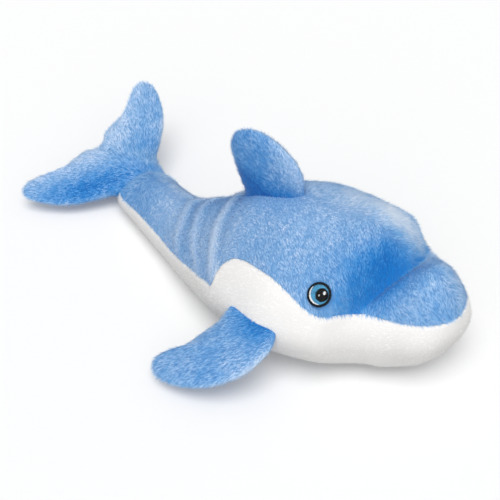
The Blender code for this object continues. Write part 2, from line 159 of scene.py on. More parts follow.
# Shades, from 0, deep, to 1, pale: the back's own shade, then painted light and shade
BACK_SHADE = 0.66
# Painted shade at the tail's end, where it goes under the fluke
TAIL_END_PAINTED_SHADE = -0.24
TAIL_END_SPREAD = 16.0
# Painted light on the fold ridges and painted shade in the hollows beside them
FOLD_PAINTED_LIGHT_AND_SHADE = 0.16       # for each millimetre that a fold stands out
# Painted shade where a fin meets the body
FIN_ROOT_PAINTED_SHADE = -0.2
# Painted shade: the white belly is darker towards the floor
LOW_BELLY_PAINTED_SHADE = 0.2
BELLY_PAINTED_SHADE_RISE = 0.7
BELLY_PAINTED_SHADE_HEIGHT = 35.0

FLOOR_SHADED = 0.82
FLOOR_GLOW = 0.095
FLOOR_WHITE = 0.78      # what the floor gives back to the toy

EYE_AT = 170.8
EYE_HEIGHT = 53.3
EYE_DOME = 1.5
EYE_ROUND = 47.0        # square of the radius at which the dome ends
EYE_CLEAR = ((0.0, 6.6), (0.5, 6.5), (1.0, 6.4))    # share of a fibre, and how far it keeps from the eye
EYE_REACH = 8.0
EYE_SUNK = {"right_eye": 1.5, "left_eye": 2.7}


def unit(vectors):
    return vectors / np.maximum(np.linalg.norm(vectors, axis=-1, keepdims=True), 1e-9)


def curve(points):
    """Monotone cubic through points, linear past its ends."""
    xs, ys = np.array(points, float).T
    steps = np.diff(xs)
    slopes = np.diff(ys) / steps
    tangents = np.zeros(len(xs))
    tangents[0], tangents[-1] = slopes[0], slopes[-1]
    for k in range(1, len(slopes)):
        before, after = slopes[k - 1], slopes[k]
        if before * after > 0.0:
            weight_before = 2.0 * steps[k] + steps[k - 1]
            weight_after = steps[k] + 2.0 * steps[k - 1]
            total = weight_before + weight_after
            tangents[k] = total / (weight_before / before + weight_after / after)

    def at(x):
        x = np.asarray(x, float)
        inside = np.clip(x, xs[0], xs[-1])
        k = np.clip(np.searchsorted(xs, inside, side="right") - 1, 0, len(steps) - 1)
        t = (inside - xs[k]) / steps[k]
        value = (1.0 + 2.0 * t) * (1.0 - t) ** 2 * ys[k] + t * (1.0 - t) ** 2 * steps[k] * tangents[k]
        value += t * t * (3.0 - 2.0 * t) * ys[k + 1] - t * t * (1.0 - t) * steps[k] * tangents[k + 1]
        return value + np.minimum(x - xs[0], 0.0) * tangents[0] + np.maximum(x - xs[-1], 0.0) * tangents[-1]

    return at


TOP = curve(SECTIONS[:, (0, 1)])
HALF_WIDTH = curve(SECTIONS[:, (0, 2)])
BOTTOM = curve(SECTIONS[:, (0, 3)])
SEAM_HEIGHT = curve(SEAM)
FOLD_LINES = [curve(line) for line in FOLDS]


def bump(offset, spread):
    return np.exp(-(offset / spread) ** 2)


def heading(distance):
    tail = TAIL_BEND * np.maximum(BEND_START - distance, 0.0) / BEND_START
    return tail + HEAD_TURN * np.clip(distance - TURN_START, 0.0, TURN_LENGTH) / TURN_LENGTH


def place(distance, aside, height):
    """Points at a distance from the fluke seam and aside of the body line."""
    distance, aside, height = np.broadcast_arrays(*(np.asarray(v, float) for v in (distance, aside, height)))
    tail_radius, head_radius = BEND_START / TAIL_BEND, TURN_LENGTH / HEAD_TURN
    angle = heading(distance)
    tail, head = distance < BEND_START, distance > TURN_START
    beyond = np.maximum(distance - TURN_START - TURN_LENGTH, 0.0)
    x = np.where(tail, tail_radius * (1.0 - np.cos(angle)), 0.0)
    y = np.where(tail, tail_radius * np.sin(angle), BEND_START - distance)
    x = np.where(head, -head_radius * (1.0 - np.cos(angle)) - beyond * np.sin(angle), x)
    y = np.where(head, BEND_START - TURN_START - head_radius * np.sin(angle) - beyond * np.cos(angle), y)
    points = np.stack((x + aside * np.cos(angle), y - aside * np.sin(angle), height), axis=-1)
    return points + ORIGIN


def ahead_of_crease(distance, height):
    along = (CREASE_TOP - CREASE_CORNER) / np.linalg.norm(CREASE_TOP - CREASE_CORNER)
    return (distance - CREASE_TOP[0]) * along[1] - (height - CREASE_TOP[1]) * along[0]


def relief(distance, height):
    """How far the skin stands out or in around the crease behind the beak."""
    ahead = ahead_of_crease(distance, height)
    out = FOREHEAD_SWELL * bump(ahead + FOREHEAD_BACK, FOREHEAD_SPREAD)
    out += BEAK_SWELL * bump(ahead - BEAK_AHEAD, BEAK_SPREAD)
    out -= CREASE_DEPTH * bump(np.where(ahead > 0.0, CREASE_STEP * ahead, ahead), CREASE_SPREAD)
    return out * np.clip((height - SEAM_HEIGHT(distance)) / CREASE_FADE, 0.0, 1.0)


def stretch_of(along):
    """Distance and closing of the rings, rounding both ends of the body."""
    turn = np.clip((along - NOSE_START) / NOSE_ROUND, 0.0, 1.0) * 0.5 * math.pi
    tail = np.clip(-along / TAIL_ROUND, 0.0, 0.999)
    return turn, np.cos(turn) * np.sqrt(1.0 - tail ** 2)


def skin(along, angle, grow):
    """Points of the body's surface, and the distance of each."""
    turn, close = stretch_of(along)
    distance = np.minimum(along, NOSE_START) + (NOSE_ROUND + grow) * np.sin(turn)
    top = TOP(distance) + grow
    half_width = HALF_WIDTH(distance) + grow
    bottom = BOTTOM(distance) - grow - BELLY_PRESS
    middle = bottom + WAIST * (top - bottom)
    across, rise = np.cos(angle), np.sin(angle)
    aside = half_width * close * across * (1.0 - PEAK * rise)
    up = np.where(rise > 0.0, top - middle, middle - bottom) * close * rise
    out = 1.0 + relief(distance, middle + up) / np.maximum(np.hypot(aside, up), NOSE_ROUND)
    height = np.maximum(middle + up * out, -grow)
    return place(distance, aside * out, height), distance


def fold_relief(along, angle):
    """Ridges of gathered cloth across the waist, and how much a point is on one."""
    from_top = np.degrees(np.abs(angle - 0.5 * math.pi))
    left = angle < 0.5 * math.pi
    total = np.zeros(np.broadcast(along, angle).shape)
    for line, height in zip(FOLD_LINES, FOLD_HEIGHTS):
        offset = along - line(np.clip(from_top, 0.0, 100.0))
        ridge = bump(offset, FOLD_SPREAD) - 0.35 * bump(offset - 5.5, 3.0) - 0.2 * bump(offset + 5.0, 3.0)
        total += height * ridge * np.where(left, 1.3, 1.0)
    return total * np.clip((100.0 - from_top) / 25.0, 0.0, 1.0)


def seam_angle(along, inset):
    """Angle on the left side at which the skin is at the height of the seam."""
    low, high = np.zeros(len(along)), np.full(len(along), 0.5 * math.pi)
    for _ in range(28):
        middle = 0.5 * (low + high)
        points, distance = skin(along, middle, -inset)
        under = points[:, 2] < SEAM_HEIGHT(distance)
        low, high = np.where(under, middle, low), np.where(under, high, middle)
    return low


def sheet_from_grid(points, wrap=False):
    """Vertices, faces and normals of a grid of points, without empty faces."""
    rows, columns = points.shape[:2]
    index = np.arange(rows * columns).reshape(rows, columns)
    if wrap:
        index = np.concatenate((index, index[:, :1]), axis=1)
    quads = np.stack((index[:-1, :-1], index[:-1, 1:], index[1:, 1:], index[1:, :-1]), axis=-1).reshape(-1, 4)
    flat = points.reshape(-1, 3)
    crossed = np.cross(flat[quads[:, 2]] - flat[quads[:, 0]], flat[quads[:, 3]] - flat[quads[:, 1]])
    quads = quads[np.linalg.norm(crossed, axis=1) > 1e-3]
    return {"points": flat, "quads": quads}


def finish_sheet(sheet, inside):
    """Normals that point away from the inside points."""
    flat, quads = sheet["points"], sheet["quads"]
    crossed = np.cross(flat[quads[:, 2]] - flat[quads[:, 0]], flat[quads[:, 3]] - flat[quads[:, 1]])
    outward = flat[quads].mean(axis=1) - inside[quads].mean(axis=1)
    if np.sum(crossed * outward) < 0.0:
        sheet["quads"] = quads = quads[:, ::-1]
        crossed = -crossed
    normals = np.zeros_like(flat)
    for corner in range(4):
        np.add.at(normals, quads[:, corner], crossed)
    sheet["normals"] = unit(normals)
    return sheet


def spots(points, *zones):
    """Sum of soft spots: centre, radius and strength of each."""
    total = np.zeros(len(points))
    for centre, radius, strength in zones:
        away = np.linalg.norm(points - np.array(centre), axis=1)
        total += strength * bump(away, radius)
    return total


# Centre, radius and strength of the spots of painted shade and of painted light on the blue cloth
# Painted shade: deeper spots, such as on the melon behind the crease and at the dorsal fin's rear
PAINTED_SHADE_SPOTS = (
    ((-23.0, -94.0, 52.0), 18.0, -0.34),
    ((-10.0, -102.0, 62.0), 13.0, -0.32),
    ((4.0, -12.0, 68.0), 8.0, -0.40),
    ((18.0, 66.0, 28.0), 18.0, -0.10),
    ((-20.0, -137.0, 44.0), 9.0, -0.10),
)
# Painted light: paler spots on the far forehead, the back and the tail's folds
PAINTED_LIGHT_SPOTS = (
    ((18.0, -91.0, 66.0), 14.0, 0.26),
    ((25.0, -97.0, 56.0), 15.0, 0.22),
    ((20.0, -72.0, 68.0), 16.0, 0.10),
    ((10.0, -80.0, 78.0), 18.0, 0.12),
    ((-14.0, -60.0, 74.0), 22.0, 0.06),
    ((-20.0, -8.0, 40.0), 26.0, 0.16),
    ((28.0, 50.0, 28.0), 20.0, 0.14),
    ((0.0, 34.0, 30.0), 20.0, 0.10),
)
# How far the nap turns ahead, by the distance from the fluke seam
AHEAD_NAP = curve(((-10, -1.0), (5, -0.9), (20, 0.5), (30, 1.0), (160, 1.0), (182, 0.3), (202, 0.3),
                   (209, 0.9), (237, 1.0)))


def crease_painted_shade(ahead):
    """Painted shade on the forehead's end behind the crease, and a dark line of painted shade in the crease.
    """
    over = np.where(ahead > 0.0, -0.03, -0.36 * np.exp(np.minimum(ahead, 0.0) / 15.0))
    return over - 0.25 * bump(ahead, 1.2)


def slack(along, angle):
    """How far the cloth sinks at the temples, and at the tail's end under the fluke."""
    from_top = np.degrees(np.abs(angle - 0.5 * math.pi))
    temples = TEMPLE_DEPTH * bump(along - TEMPLE_AT, TEMPLE_LENGTH)
    temples = temples * bump(from_top - TEMPLE_ANGLE, TEMPLE_SPREAD)
    end = TAIL_END_DEPTH * np.clip((TAIL_END_FROM - along) / TAIL_END_LENGTH, 0.0, 1.0) ** 1.5
    return temples + end * np.clip(np.sin(angle), 0.0, 1.0)


def edge_dip(columns, depth):
    """How much deeper a panel's cloth lies in its first columns, under the seam."""
    from_edge = np.minimum(np.arange(columns), np.arange(columns)[::-1])
    return depth * np.exp(-from_edge / 0.7)


def body_sheets():
    """Cloth of the back with the beak, and cloth of the belly."""
    along = np.concatenate((
        -TAIL_ROUND * np.cos(np.linspace(0.0, 0.5 * math.pi, 5))[:-1],
        np.linspace(0.0, NOSE_START, 150),
        NOSE_START + NOSE_ROUND * np.linspace(0.0, 0.9995, 32)[1:],
    ))
    sheets = {}
    for name, columns, inset, dip in (("back", 96, BLUE_INSET, 0.2), ("belly", 72, WHITE_INSET, 1.4)):
        seam = seam_angle(along, inset)[:, None]
        share = np.linspace(0.0, 1.0, columns)[None]
        if name == "back":
            angle = seam + (math.pi - 2.0 * seam) * share
        else:
            angle = math.pi - seam + (math.pi + 2.0 * seam) * share
        rows = np.broadcast_to(along[:, None], angle.shape)
        folds = fold_relief(rows, angle) if name == "back" else np.zeros(angle.shape)
        still_open = np.clip((0.5 * math.pi - seam) / 0.3, 0.0, 1.0)
        sunk = inset + edge_dip(columns, dip)[None] * still_open
        if name == "back":
            sunk = sunk + slack(rows, angle)
        points, distance = skin(rows, angle, folds - sunk)
        inside, _ = skin(rows, angle, -inset - 8.0)
        sheet = finish_sheet(sheet_from_grid(points), inside.reshape(-1, 3))
        ahead = unit(np.gradient(points, axis=0))
        side = -np.cos(angle)
        sideways = TOP_NAP + (SIDE_NAP - TOP_NAP) * np.minimum(1.4 * np.abs(side), 1.0)
        parting = sideways * np.tanh(side / SPINE_WIDTH)
        nap = ahead * AHEAD_NAP(distance)[..., None] + unit(np.gradient(points, axis=1)) * parting[..., None]
        nap = nap.reshape(-1, 3) if name == "back" else -ahead.reshape(-1, 3)
        flat = sheet["points"]
        height = flat[:, 2]
        sheet["distance"] = distance.reshape(-1)
        sheet["ahead"] = ahead_of_crease(distance.reshape(-1), height)
        sheet["side"] = side.reshape(-1)
        sheet["nap"] = unit(nap)
        if name == "back":
            # Painted shade at the tail's end under the fluke
            end = TAIL_END_PAINTED_SHADE * bump(np.maximum(rows.reshape(-1), 0.0), TAIL_END_SPREAD)
            # Spots of painted shade and painted light
            painted_spots = spots(flat, *PAINTED_SHADE_SPOTS, *PAINTED_LIGHT_SPOTS)
            # Painted light and shade on the folds, over the back's own shade
            sheet["shade"] = BACK_SHADE + end + painted_spots + FOLD_PAINTED_LIGHT_AND_SHADE * folds.reshape(-1)
            sheet["length"] = BLUE_PILE * (1.0 + 0.15 * bump(sheet["ahead"] - 1.0, 2.0))
        else:
            # Painted shade: the belly's shade rises with height
            rise = np.clip(height / BELLY_PAINTED_SHADE_HEIGHT, 0.0, 1.0)
            sheet["shade"] = LOW_BELLY_PAINTED_SHADE + BELLY_PAINTED_SHADE_RISE * rise
            sheet["length"] = np.full(len(flat), WHITE_PILE)
        sheets[name] = sheet
    return sheets


def closed_outline(points, samples):
    """Evenly spaced points on a smooth closed curve through the outline."""
    p = np.array(points, float)
    t = np.linspace(0.0, 1.0, 16, endpoint=False)[None, :, None]
    before, after, later = np.roll(p, 1, 0)[:, None], np.roll(p, -1, 0)[:, None], np.roll(p, -2, 0)[:, None]
    here = p[:, None]
    second = 2.0 * before - 5.0 * here + 4.0 * after - later
    third = 3.0 * here - before - 3.0 * after + later
    fine = 0.5 * (2.0 * here + (after - before) * t + second * t ** 2 + third * t ** 3)
    fine = fine.reshape(-1, 2)
    closed = np.concatenate((fine, fine[:1]))
    travelled = np.concatenate(([0.0], np.cumsum(np.linalg.norm(np.diff(closed, axis=0), axis=1))))
    at = np.linspace(0.0, travelled[-1], samples, endpoint=False)
    return np.stack([np.interp(at, travelled, closed[:, axis]) for axis in range(2)], axis=1)


def fin_sheet(outline, thickness, matrix, nap, shade):
    """Stuffed fin: thick in the middle, with a round rim."""
    rim = closed_outline(outline, 132)
    tangent = unit(np.roll(rim, -1, 0) - np.roll(rim, 1, 0))
    area = np.sum(rim[:, 0] * np.roll(rim[:, 1], -1) - rim[:, 1] * np.roll(rim[:, 0], -1))
    outward = np.stack((tangent[:, 1], -tangent[:, 0]), axis=1) * np.sign(area)
    rim = rim - outward * BLUE_INSET
    centre = rim.mean(axis=0)
    turn = np.radians(np.linspace(-89.0, 89.0, 45))[:, None]
    flat = centre + (rim - centre) * np.cos(turn)[..., None]
    lift = np.sin(turn) * (thickness(flat) - BLUE_INSET)
    local = np.concatenate((flat, lift[..., None]), axis=-1)
    turned = np.array(matrix.to_3x3())
    points = local @ turned.T + np.array(matrix.translation)
    middle = np.concatenate((flat, 0.0 * lift[..., None]), axis=-1)
    flat_centre = np.append(centre, 0.0)
    middle = flat_centre + (middle - flat_centre) * 0.8
    inside = middle @ turned.T + np.array(matrix.translation)
    sheet = finish_sheet(sheet_from_grid(points, wrap=True), inside.reshape(-1, 3))
    sheet["local"] = local.reshape(-1, 3)
    along = nap(sheet["local"]) @ turned.T
    normals = sheet["normals"]
    sheet["nap"] = unit(along - normals * np.sum(along * normals, axis=1, keepdims=True))
    sheet["shade"] = shade(sheet["local"])
    sheet["length"] = np.full(len(normals), FIN_PILE)
    return sheet


def scatter(sheet, count, rng):
    """Random places on a sheet, with its values there."""
    quads = sheet["quads"]
    triangles = np.concatenate((quads[:, (0, 1, 2)], quads[:, (0, 2, 3)]))
    a, b, c = (sheet["points"][triangles[:, k]] for k in range(3))
    area = np.linalg.norm(np.cross(b - a, c - a), axis=1)
    picked = triangles[rng.choice(len(triangles), count, p=area / area.sum())]
    u, v = np.sqrt(rng.random(count)), rng.random(count)
    weights = (1.0 - u, u * (1.0 - v), u * v)
    found = {}
    for key, values in sheet.items():
        if key != "quads":
            shape = (count,) + (1,) * (values.ndim - 1)
            found[key] = sum(w.reshape(shape) * values[picked[:, k]] for k, w in enumerate(weights))
    return found


def area_of(sheet):
    p, q = sheet["points"], sheet["quads"]
    return 0.5 * np.linalg.norm(np.cross(p[q[:, 2]] - p[q[:, 0]], p[q[:, 3]] - p[q[:, 1]]), axis=1).sum()


def ruffle(points):
    """Patches where the pile is brushed a little lighter or darker."""
    total = np.zeros(len(points))
    for size, strength, seed in ((19.0, 0.035, 3), (8.0, 0.035, 5), (3.6, 0.03, 7)):
        waves = np.random.default_rng(seed)
        for _ in range(6):
            direction = unit(waves.normal(0.0, 1.0, 3))
            phase = points @ direction * 2.0 * math.pi / size + waves.uniform(0.0, 6.3)
            total += strength * np.sin(phase) / 1.7
    return total


def strands(sheet, density, rng, keep=None, unruly=1.0):
    """Thin tapered fibres in small tufts, laid along the nap."""
    tufts = scatter(sheet, int(area_of(sheet) * density / FIBRES_PER_TUFT), rng)
    if keep is not None:
        mask = keep(tufts)
        tufts = {key: values[mask] for key, values in tufts.items()}
    count = len(tufts["points"])
    normal = unit(tufts["normals"])
    nap = unit(tufts["nap"] - normal * np.sum(tufts["nap"] * normal, axis=1, keepdims=True))
    cross = np.cross(normal, nap)
    turn = rng.normal(0.0, TUFT_TURN * unruly, count)[:, None]
    nap = nap * np.cos(turn) + cross * np.sin(turn)
    tilt = LEAN + rng.normal(0.0, TUFT_TILT * unruly, count)
    tilt = np.clip(tilt - STRAY_TILT * (rng.random(count) < STRAY_SHARE), 0.3, 1.4)[:, None]
    direction = normal * np.cos(tilt) + nap * np.sin(tilt)
    shade = tufts["shade"] + rng.normal(0.0, 0.05, count) + ruffle(tufts["points"])
    # Painted shade behind and in the crease
    if "ahead" in tufts:
        shade += crease_painted_shade(tufts["ahead"])
    length = tufts["length"] * rng.uniform(0.65, 1.2, count)

    def each(values):
        return np.repeat(values, FIBRES_PER_TUFT, axis=0)

    n = count * FIBRES_PER_TUFT
    nap, normal, direction = each(nap), each(normal), each(direction)
    cross = np.cross(normal, nap)
    radius = TUFT_SPREAD * np.sqrt(rng.random(n))
    around = rng.random(n) * 2.0 * math.pi
    offset = nap * (radius * np.cos(around))[:, None] + cross * (radius * np.sin(around))[:, None]
    fibre = unit(direction + rng.normal(0.0, FIBRE_STRAY * unruly, (n, 3)))
    root = each(tufts["points"]) + offset - normal * ROOT_DEPTH
    tip = root + fibre * (each(length) * rng.uniform(0.7, 1.1, n))[:, None] - offset * 0.75
    tip[:, 2] = np.maximum(tip[:, 2], 0.12)
    root[:, 2] = np.maximum(root[:, 2], ROOT_DEPTH)
    side = unit(np.cross(fibre, normal))
    roll = rng.normal(0.0, 0.45, n)[:, None]
    side = (side * np.cos(roll) + normal * np.sin(roll)) * (0.5 * FIBRE_WIDTH)
    corners = np.stack((root - side, root + side, tip), axis=1)
    facing = np.cross(side / (0.5 * FIBRE_WIDTH), fibre)
    shading = unit(normal + 0.22 * facing + rng.normal(0.0, 0.13, (n, 3)))
    shade = np.clip(each(shade) + rng.normal(0.0, 0.09, n), 0.02, 0.98)
    blend = np.stack((
        np.stack((shade - 0.008, np.full(n, 0.05)), axis=1),
        np.stack((shade + 0.008, np.full(n, 0.05)), axis=1),
        np.stack((shade, np.full(n, 0.95)), axis=1),
    ), axis=1)
    return {"corners": corners, "shading": np.repeat(shading[:, None], 3, axis=1), "map": blend}


def trim(fibres, mask):
    return {key: values[mask] for key, values in fibres.items()}


def mesh_from(name, points, normals, corner_index, starts, blend, material):
    """Object of a mesh given by arrays, with its shading normals and its map."""
    mesh = bpy.data.meshes.new(name)
    mesh.vertices.add(len(points))
    mesh.vertices.foreach_set("co", (points * MM).astype(np.float32).ravel())
    mesh.loops.add(len(corner_index))
    mesh.loops.foreach_set("vertex_index", corner_index.astype(np.int32).ravel())
    mesh.polygons.add(len(starts))
    mesh.polygons.foreach_set("loop_start", starts.astype(np.int32))
    mesh.update(calc_edges=True)
    everywhere = blend[corner_index].astype(np.float32)
    mesh.uv_layers.new(name="OFBake").data.foreach_set("uv", everywhere.ravel())
    mesh.materials.append(material)
    mesh.shade_smooth()
    mesh.normals_split_custom_set_from_vertices(normals.astype(np.float32))
    obj = bpy.data.objects.new(name, mesh)
    bpy.context.scene.collection.objects.link(obj)
    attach(obj, "root")
    return obj


def plush_pieces(name, sheet, quads, fibres, material):
    """A piece of cloth, painted a little darker than the pile that stands on it, as shade under the pile."""
    used, corner_index = np.unique(quads.ravel(), return_inverse=True)
    # Painted shade: the cloth takes a deeper shade than its pile
    shade = np.clip(sheet["shade"][used] - 0.10, 0.02, 0.98)
    blend = np.stack((shade, 0.03 + 0.04 * (np.arange(len(used)) % 2)), axis=1)
    starts = np.arange(len(quads)) * 4
    cloth = mesh_from(name + "_cloth", sheet["points"][used], sheet["normals"][used], corner_index, starts,
                      blend, material)
    corners = fibres["corners"].reshape(-1, 3)
    index = np.arange(len(corners))
    pile = mesh_from(name + "_pile", corners, fibres["shading"].reshape(-1, 3), index, index[::3],
                     fibres["map"].reshape(-1, 2), material)
    pile.visible_shadow = False
    pile.visible_diffuse = False
    return cloth


def linear(colour):
    values = np.array(colour, float) / 255.0
    return tuple(np.where(values <= 0.04045, values / 12.92, ((values + 0.055) / 1.055) ** 2.4)) + (1.0,)


def ramp(tree, stops, source):
    node = tree.nodes.new("ShaderNodeValToRGB")
    elements = node.color_ramp.elements
    while len(elements) < len(stops):
        elements.new(0.5)
    for element, (position, colour) in zip(elements, stops):
        element.position = position
        element.color = linear(colour)
    tree.links.new(source, node.inputs["Fac"])
    return node.outputs["Color"]


def plush_material(name, root_stops, tip_stops, sheen, tint):
    """Fibre colours: the shade, which carries painted light and shade, goes across the map, root to tip goes
    up it; darker roots are painted shade in the depth of the pile.
    """
    material = bpy.data.materials.new(name)
    material.use_nodes = True
    tree = material.node_tree
    shader = tree.nodes["Principled BSDF"]
    coordinates = tree.nodes.new("ShaderNodeUVMap")
    coordinates.uv_map = "OFBake"
    split = tree.nodes.new("ShaderNodeSeparateXYZ")
    tree.links.new(coordinates.outputs["UV"], split.inputs["Vector"])
    mix = tree.nodes.new("ShaderNodeMix")
    mix.data_type = "RGBA"
    tree.links.new(split.outputs["Y"], mix.inputs["Factor"])
    tree.links.new(ramp(tree, root_stops, split.outputs["X"]), mix.inputs["A"])
    tree.links.new(ramp(tree, tip_stops, split.outputs["X"]), mix.inputs["B"])
    tree.links.new(mix.outputs["Result"], shader.inputs["Base Color"])
    shader.inputs["Roughness"].default_value = 0.85
    shader.inputs["Specular IOR Level"].default_value = 0.2
    shader.inputs["Sheen Weight"].default_value = sheen
    shader.inputs["Sheen Roughness"].default_value = 0.4
    shader.inputs["Sheen Tint"].default_value = linear(tint)
    return material


def thread_material(name, colour, roughness=0.45, sheen=0.3, specular=0.5):
    """Shiny stitched thread with a little unevenness along it."""
    material = bpy.data.materials.new(name)
    material.use_nodes = True
    tree = material.node_tree
    shader = tree.nodes["Principled BSDF"]
    noise = tree.nodes.new("ShaderNodeTexNoise")
    noise.inputs["Scale"].default_value = 900.0
    noise.inputs["Detail"].default_value = 2.0
    place_in = tree.nodes.new("ShaderNodeTexCoord")
    tree.links.new(place_in.outputs["Object"], noise.inputs["Vector"])
    dark = tuple(int(value * 0.82) for value in colour)
    colours = ramp(tree, ((0.35, dark), (0.65, colour)), noise.outputs["Fac"])
    tree.links.new(colours, shader.inputs["Base Color"])
    shader.inputs["Roughness"].default_value = roughness
    shader.inputs["Sheen Weight"].default_value = sheen
    shader.inputs["Specular IOR Level"].default_value = specular
    return material


# Roots deeper than tips: painted shade in the depth of the pile, whose fibres cast no shadow
BLUE = plush_material(
    "blue_plush_pile",
    ((0.0, (0, 80, 158)), (0.3, (36, 110, 180)), (0.6, (94, 142, 194)), (1.0, (188, 206, 228))),
    ((0.0, (4, 130, 212)), (0.3, (82, 162, 224)), (0.6, (164, 204, 240)), (1.0, (238, 244, 252))),
    0.5, (195, 222, 250))
# Painted shade: the white deepens from the top of the shade range to its middle, which the belly's lower part
# takes, and is paler again at its bottom, against the shadow near the floor
WHITE = plush_material(
    "white_plush_pile",
    ((0.0, (232, 231, 230)), (0.55, (212, 210, 208)), (1.0, (244, 242, 240))),
    ((0.0, (244, 243, 242)), (0.55, (225, 224, 222)), (1.0, (254, 253, 251))),
    0.1, (255, 254, 250))
BLACK_THREAD = thread_material("eye_thread_black", (6, 7, 9), 0.5, 0.0, 0.2)
BLUE_THREAD = thread_material("eye_thread_blue", (66, 158, 204))
WHITE_THREAD = thread_material("eye_thread_white", (244, 246, 248))


def eye_frames():
    """Centre and axes of both eyes: ahead, up and out of the skin."""
    found = {}
    for name, side in (("right_eye", -1.0), ("left_eye", 1.0)):
        low, high = 0.0, 0.5 * math.pi
        for _ in range(30):
            middle = 0.5 * (low + high)
            angle = middle if side > 0.0 else math.pi - middle
            point, _ = skin(np.array(EYE_AT), np.array(angle), 0.0)
            low, high = (middle, high) if point[2] < EYE_HEIGHT else (low, middle)
        angle = np.array(low if side > 0.0 else math.pi - low)
        centre, _ = skin(np.array(EYE_AT), angle, 0.0)
        ahead = skin(np.array(EYE_AT + 2.0), angle, 0.0)[0] - skin(np.array(EYE_AT - 2.0), angle, 0.0)[0]
        around = skin(np.array(EYE_AT), angle + 0.05, 0.0)[0] - skin(np.array(EYE_AT), angle - 0.05, 0.0)[0]
        out = unit(np.cross(ahead, around))
        if out[0] * side < 0.0:
            out = -out
        ahead = unit(ahead - out * (ahead @ out))
        up = np.cross(out, ahead)
        up = up if up[2] > 0.0 else -up
        found[name] = (centre, ahead, up, out)
    return found


EYES = eye_frames()


def clear_of_eyes(fibres):
    """Fibres that neither stand in an eye nor lie over it."""
    root = fibres["corners"][:, :2].mean(axis=1)
    tip = fibres["corners"][:, 2]
    keep = np.ones(len(root), bool)
    for centre, ahead, up, out in EYES.values():
        for share, radius in EYE_CLEAR:
            away = root + (tip - root) * share - centre
            flat = np.hypot(away @ ahead, away @ up)
            keep &= ~((flat < radius) & (np.abs(away @ out) < EYE_REACH))
    return keep


def stitch_strip(start, end, lift_start, lift_end, width, lift, sides=6):
    """One rounded stitch between two points on the eye, as rings of local points."""
    spine = np.linspace(0.0, 1.0, 5)
    thick = width * np.array((0.25, 0.9, 1.0, 0.9, 0.25))
    direction = unit(end - start)
    side = np.array((-direction[1], direction[0]))
    rings = []
    for share, size in zip(spine, thick):
        flat = start + (end - start) * share
        around = np.linspace(0.0, 2.0 * math.pi, sides, endpoint=False)
        across = 0.5 * size * np.cos(around)
        high = 0.45 * size * np.sin(around)
        base = lift(flat[0], flat[1]) + lift_start + (lift_end - lift_start) * share
        rings.append(np.stack((flat[0] + side[0] * across, flat[1] + side[1] * across, base + high), axis=1))
    return np.array(rings)


def stitches_object(name, stitches, axes, material):
    """Many stitches as one mesh, placed on the eye."""
    centre, ahead, up, out = axes
    vertices, faces = [], []
    for rings in stitches:
        first = len(vertices)
        rows, sides = rings.shape[:2]
        for x, y, z in rings.reshape(-1, 3):
            vertices.append(tuple((centre + x * ahead + y * up + z * out) * MM))
        for row in range(rows - 1):
            for k in range(sides):
                after = (k + 1) % sides
                a = first + row * sides
                faces.append((a + k, a + after, a + sides + after, a + sides + k))
        faces.append(tuple(first + k for k in range(sides)))
        faces.append(tuple(first + (rows - 1) * sides + k for k in range(sides)))
    mesh = bpy.data.meshes.new(name)
    mesh.from_pydata(vertices, [], faces)
    mesh.validate()
    mesh.shade_smooth()
    mesh.materials.append(material)
    obj = bpy.data.objects.new(name, mesh)
    bpy.context.scene.collection.objects.link(obj)
    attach(obj, "root")
    return obj


